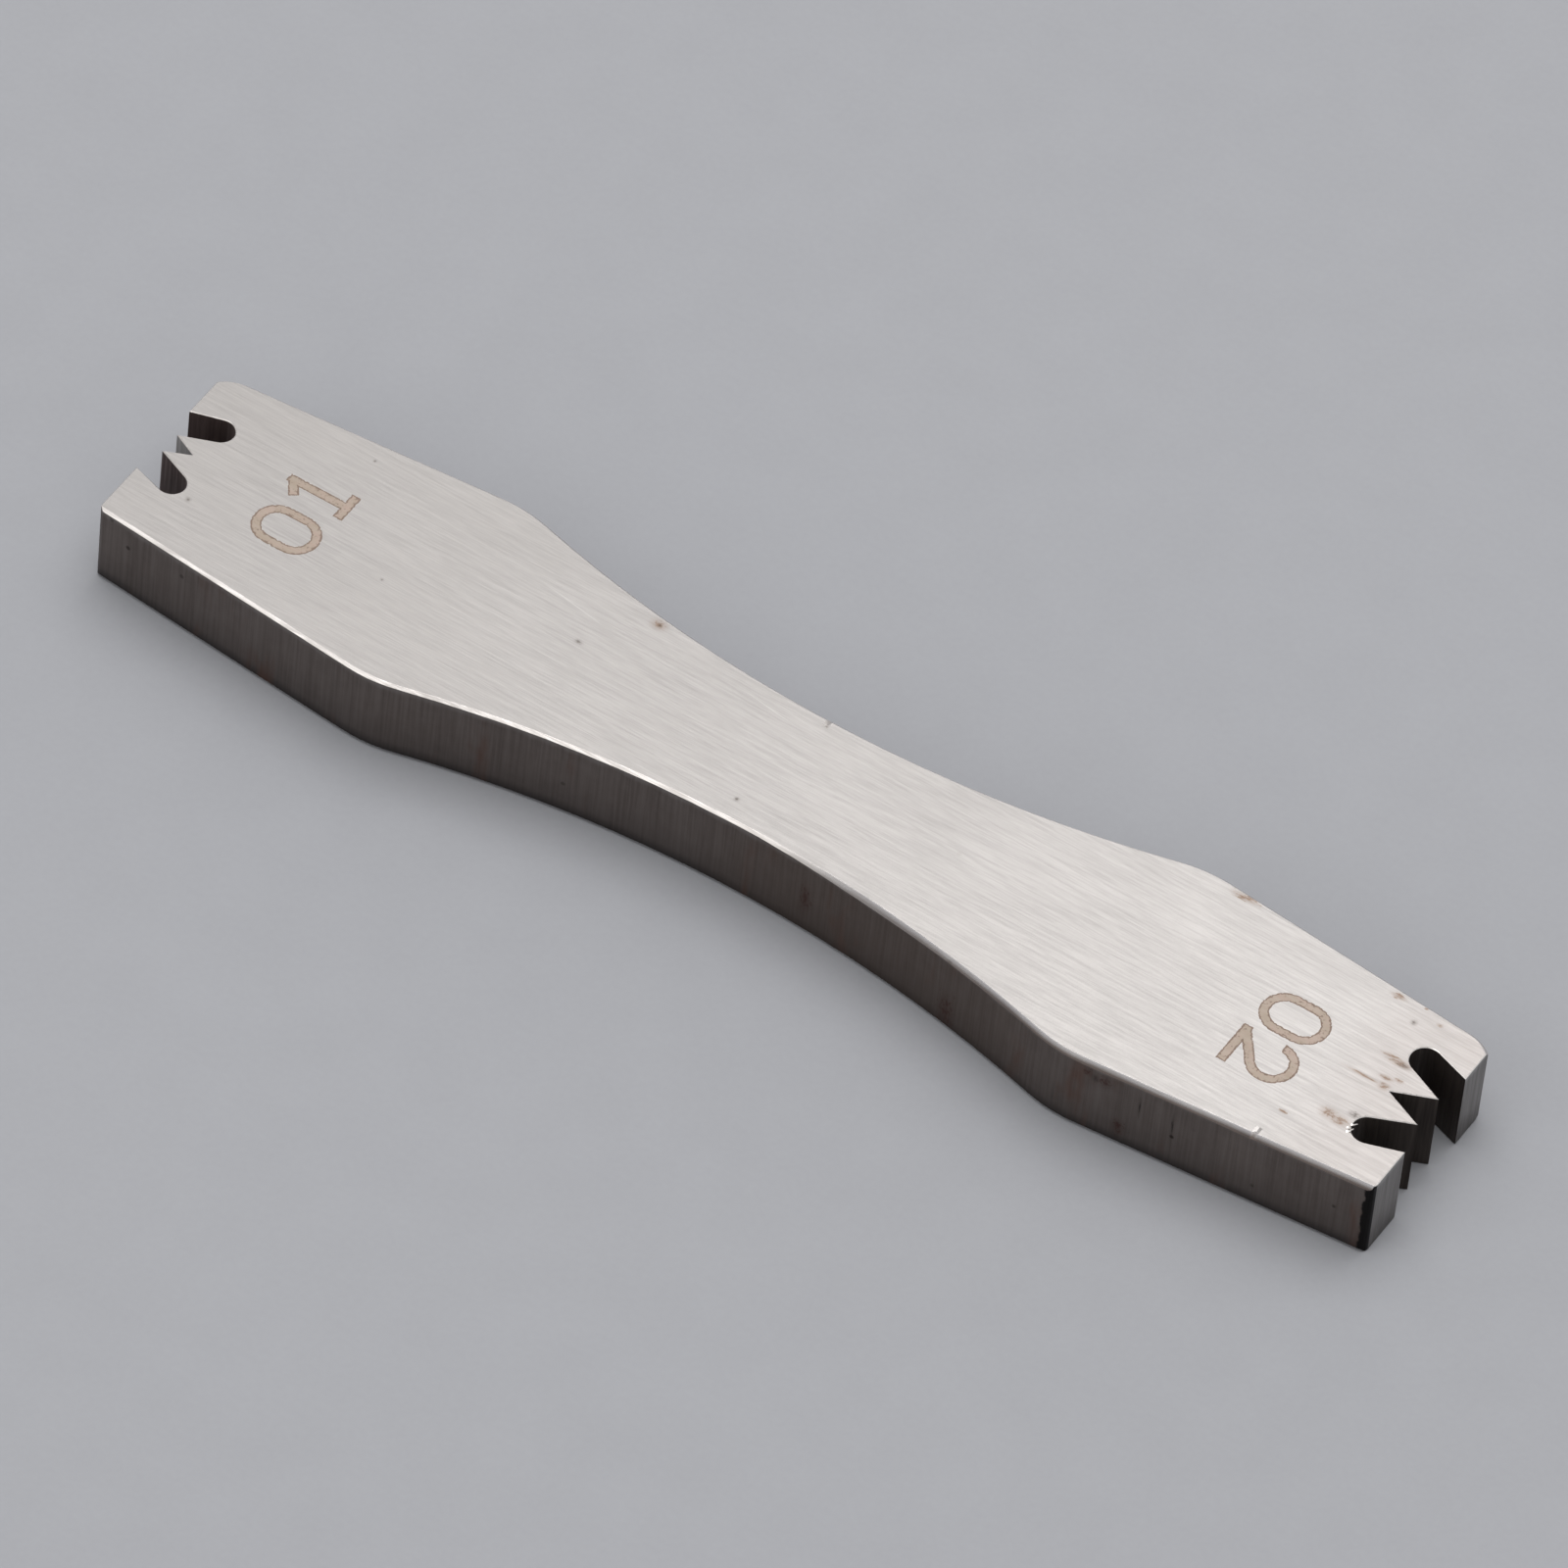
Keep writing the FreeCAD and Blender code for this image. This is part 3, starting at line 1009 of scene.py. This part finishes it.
mouth, tree, shader, where = new_finish("mouth_wall", Metallic=0.6)
at = split(tree, where)
lines = lined(tree, where, (4600, 4600, 200))
small_end = sum_of(tree, "SUBTRACT", 1.0, sum_of(tree, "GREATER_THAN", at["X"], 0.0))
off_centre = sum_of(tree, "ABSOLUTE", sum_of(tree, "SUBTRACT", at["Y"], SMALL_NOTCH_CENTRE))
notch = sum_of(tree, "LESS_THAN", off_centre, SMALL_NOTCH_HALF)
# Painted shade of the recess: the mouth walls are darker than the flanks.
skin = blended(tree, lines["Tone"], MOUTH_SHADED_DARK, MOUTH_SHADED_LIGHT)
skin = blended(tree, small_end, skin, blended(tree, lines["Tone"], BROWN_DARK, BROWN_LIGHT))
cleaned = blended(tree, lines["Tone"], CLEAN_DARK, CLEAN_LIGHT)
skin = painted(tree, notch, small_end, skin, cleaned)
feed(tree, shader, "Base Color", skin)
vary_roughness(tree, shader, lines["Tone"], 0.68, 0.52)
add_bump(tree, shader, lines["Height"], 0.3, RELIEF)
print("finish", mouth.name)

# %% [markdown]
# The broken edges are bare steel. The file left a grey face low on the near bevel, more so towards
# the larger mouth, and above it a painted highlight brightens a line. The bottom edges are
# darkened with painted shade.

# %% Finish: broken edge
EDGE_DARK = colour(0.56, 0.528, 0.510)
EDGE_LIGHT = colour(0.78, 0.748, 0.730)
FILED_GREY = colour(0.220, 0.180, 0.160)
# Painted shade along the bottom edges.
EDGE_FOOT_SHADE = colour(0.050, 0.043, 0.042)
# Painted highlight along the top line of the near bevel.
HIGHLIGHT_BRIGHT = colour(0.94, 0.905, 0.885)
NIBBLE_GREY = colour(0.22, 0.19, 0.17)
FILED_UP_TO = TOP - 0.32 * MM
FILED_NONE = TOP - 0.09 * MM
FILED_RAMP = 20.0 * MM
# Heights of the painted shade on the bottom edges.
EDGE_SHADE_NONE = 1.0 * MM
EDGE_SHADE_FULL = 0.5 * MM
# Height and reach of the painted highlight on the near bevel.
HIGHLIGHT_FULL = TOP - 0.03 * MM
HIGHLIGHT_RAMP = 8.0 * MM

bare_edge, tree, shader, where = new_finish("broken_edge", Metallic=1.0)
at = split(tree, where)
lines = lined(tree, where, (500, 9000, 9000))
skin = blended(tree, lines["Tone"], EDGE_DARK, EDGE_LIGHT)
filed = stepped(tree, at["Z"], FILED_UP_TO, FILED_NONE, 1.0, 0.0)
filed_here = stepped(tree, at["X"], 0.0, FILED_RAMP, 0.40, 1.0)
skin = painted(tree, filed, filed_here, skin, FILED_GREY)
# Painted shade on the bottom edges, darker towards the foot.
edge_shade = stepped(tree, at["Z"], EDGE_SHADE_NONE, EDGE_SHADE_FULL, 0.0, 0.8)
skin = blended(tree, edge_shade, skin, EDGE_FOOT_SHADE)
# Painted highlight along the top line of the near bevel, towards the larger mouth.
edge_highlight = stepped(tree, at["Z"], FILED_NONE, HIGHLIGHT_FULL, 0.0, 0.8)
edge_highlight_here = stepped(tree, at["X"], 0.0, HIGHLIGHT_RAMP)
skin = painted(tree, edge_highlight, edge_highlight_here, skin, HIGHLIGHT_BRIGHT)
skin = painted(tree, specks(tree, where, 1100.0, 0.2, 0.25), 0.6, skin, NIBBLE_GREY)
feed(tree, shader, "Base Color", skin)
vary_roughness(tree, shader, lines["Tone"], 0.38, 0.24)
add_bump(tree, shader, lines["Height"], 0.25, FINE_RELIEF)
print("finish", bare_edge.name)

# %% [markdown]
# ## Laser oxide
#
# The fill of a number drifts between tan, pink and grey-green, as thin oxide does. Along the
# outline the attribute made earlier, frayed by noise, gives a darker line and lets bare steel bite
# into it.

# %% Finish: laser oxide
OXIDE_TAN = colour(0.335, 0.272, 0.218)
OXIDE_PINK = colour(0.385, 0.295, 0.252)
OXIDE_GREEN = colour(0.31, 0.288, 0.245)
OUTLINE_BROWN = colour(0.165, 0.112, 0.086)
BITTEN_STEEL = colour(0.50, 0.48, 0.47)
OXIDE_METALLIC = 0.35
RIM_FRAY = 1.9

oxide, tree, shader, where = new_finish("laser_oxide")
drift = stepped(tree, noise(tree, where, 1300.0, 3.0), 0.3, 0.7)
grain = lined(tree, where, (900, 6500, 100), 2)
skin = blended(tree, drift, OXIDE_TAN, OXIDE_PINK)
skin = painted(tree, grain["Tone"], 0.35, skin, OXIDE_GREEN)
rim = place_node(tree, "Attribute", {}, attribute_name="rim").outputs["Fac"]
fray = centred(tree, noise(tree, where, 6500.0, 3.0))
rim = sum_of(tree, "ADD", rim, sum_of(tree, "MULTIPLY", fray, RIM_FRAY))
skin = blended(tree, stepped(tree, rim, 0.10, 0.50, 0.0, 0.88), skin, OUTLINE_BROWN)
bitten = stepped(tree, rim, 0.90, 1.10)
skin = blended(tree, bitten, skin, BITTEN_STEEL)
feed(tree, shader, "Base Color", skin)
feed(tree, shader, "Metallic", stepped(tree, bitten, 0.0, 1.0, OXIDE_METALLIC, 1.0))
vary_roughness(tree, shader, grain["Tone"], 0.62, 0.48)
add_bump(tree, shader, grain["Height"], 0.2, FINE_RELIEF)
print("finish", oxide.name)

# %% [markdown]
# ## Give each face its finish
#
# The plate is one solid, so it stays one piece and carries five finishes. Which one a face gets
# follows from the way it looks and where it is.

# %% Join the burr and set the finishes
take_up(plate)
for shred in shreds:
    shred.select_set(True)
bpy.ops.object.join()
FINISHES = [linished, flank, end_face, mouth, bare_edge]
for finish in FINISHES:
    plate.data.materials.append(finish)
ABOVE_PLATE = TOP + 0.005 * MM
LEVEL_FROM = 0.95
FACES_OUT = 0.99
END_X = high.x - 0.05 * MM
MOUTH_FROM = 33.0 * MM
MOUTH_HALF = 4.0 * MM


def finish_for(face):
    """The number of the finish for a face of the plate."""
    middle = face.center
    if middle.z > ABOVE_PLATE:
        return FINISHES.index(bare_edge)
    if abs(face.normal.z) > LEVEL_FROM:
        return FINISHES.index(linished)
    if abs(face.normal.z) > SLANTED_FROM:
        return FINISHES.index(bare_edge)
    if abs(middle.x) > END_X and abs(face.normal.x) > FACES_OUT:
        return FINISHES.index(end_face)
    if abs(middle.x) > MOUTH_FROM and abs(middle.y) < MOUTH_HALF:
        return FINISHES.index(mouth)
    return FINISHES.index(flank)


tally = {finish.name: 0 for finish in FINISHES}
for face in plate.data.polygons:
    face.material_index = finish_for(face)
    tally[FINISHES[face.material_index].name] += 1
for number in (number_large, number_small):
    number.data.materials.append(oxide)
print("faces by finish:", tally)

# %% Smooth the curved walls and keep every real corner
CORNER = math.radians(10.5)
LEAST_STEP = 0.0005


def edges_a_flat(edge):
    """True for an edge between a level face and a face that is not level."""
    slopes = sorted(abs(face.normal.z) for face in edge.link_faces)
    return len(slopes) == 2 and slopes[1] > FLAT_ENOUGH and slopes[1] - slopes[0] > LEAST_STEP


for piece in (plate, number_large, number_small):
    take_up(piece)
    bpy.ops.object.shade_smooth_by_angle(angle=CORNER)
    open_up(piece, "EDGE")
    outlines = choose(piece, "edges", edges_a_flat)
    bpy.ops.mesh.mark_sharp()
    close_up()
    print(piece.name, "keeps", outlines, "sharp edges round its flats")

# %% [markdown]
# ## Floor and light
#
# The tool lies on plain pale grey board, which is set a hair below it so that the two flat faces
# never share one plane. The light is a wide soft dome, brighter at the horizon than overhead, and
# a very wide softbox high above, so the plate throws only a short soft shadow at its foot. A
# softbox behind makes the linished face brighten towards the larger mouth, and one in front keeps
# the dark flank readable.

# %% Floor
BOARD_DARK = colour(0.297, 0.303, 0.326)
BOARD_LIGHT = colour(0.334, 0.341, 0.367)
FLOOR_GAP = 0.02 * MM

board, tree, shader, where = new_finish("pale_board", Roughness=0.9)
fleck = noise(tree, where, 260.0, 2.0)
paper = noise(tree, where, 2600.0, 2.0)
tone = sum_of(tree, "MULTIPLY", sum_of(tree, "ADD", fleck, paper), 0.5)
feed(tree, shader, "Base Color", blended(tree, tone, BOARD_DARK, BOARD_LIGHT))
bpy.ops.mesh.primitive_plane_add(size=8.0, location=(0, 0, -FLOOR_GAP))
floor = bpy.context.object
floor.name = "floor"
floor.data.materials.append(board)
print("floor lies", FLOOR_GAP / MM, "mm below the tool")

# %% Dome
HORIZON = 0.74
ZENITH = 0.46
DOME_COLOUR = colour(1.0, 0.995, 0.985)

world = bpy.data.worlds.new("studio")
bpy.context.scene.world = world
world.use_nodes = True
tree = world.node_tree
background = tree.nodes["Background"]
sky = tree.nodes.new("ShaderNodeTexCoord").outputs["Generated"]
strength = stepped(tree, split(tree, sky)["Z"], 0.25, 0.60, HORIZON, ZENITH)
background.inputs["Color"].default_value = DOME_COLOUR
tree.links.new(strength, background.inputs["Strength"])
print("dome goes from", HORIZON, "at the horizon to", ZENITH, "overhead")

# %% Softboxes
LAMP_COLOUR = (1.0, 0.99, 0.975)


def softbox(title, at, width, height, watts):
    """A rectangular area light at a point, facing the tool. All lengths are in metres."""
    light = bpy.data.lights.new(title, "AREA")
    light.shape = "RECTANGLE"
    light.size = width
    light.size_y = height
    light.energy = watts
    light.color = LAMP_COLOUR
    lamp = bpy.data.objects.new(title, light)
    bpy.context.scene.collection.objects.link(lamp)
    lamp.matrix_world = (
        Matrix.Translation(at) @ (-at).to_track_quat("-Z", "Y").to_matrix().to_4x4()
    )
    print(title, "of", watts, "W")


softbox("overhead_softbox", Vector((-0.09, 0.14, 1.0)), 1.10, 1.10, 8.5)
softbox("back_softbox", Vector((0.035, 0.34, 0.42)), 0.42, 0.30, 0.40)
softbox("front_softbox", Vector((-0.19, -0.50, 0.46)), 0.50, 0.45, 0.74)

# %% [markdown]
# ## Hand the pieces over
#
# Every piece rides on the single body of the tool and stands for its CAD node.

# %% Ride, replace and measure
for piece, node_name, slot_name in (
    (plate, "opener_body", "ground_steel"),
    (number_large, "size_mark_large_end", "laser_oxide"),
    (number_small, "size_mark_small_end", "laser_oxide"),
):
    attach(piece, "root")
    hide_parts(node_name)
    print(piece.name, "stands for", node_name, "with", len(piece.data.polygons), "faces")

bpy.context.view_layer.update()
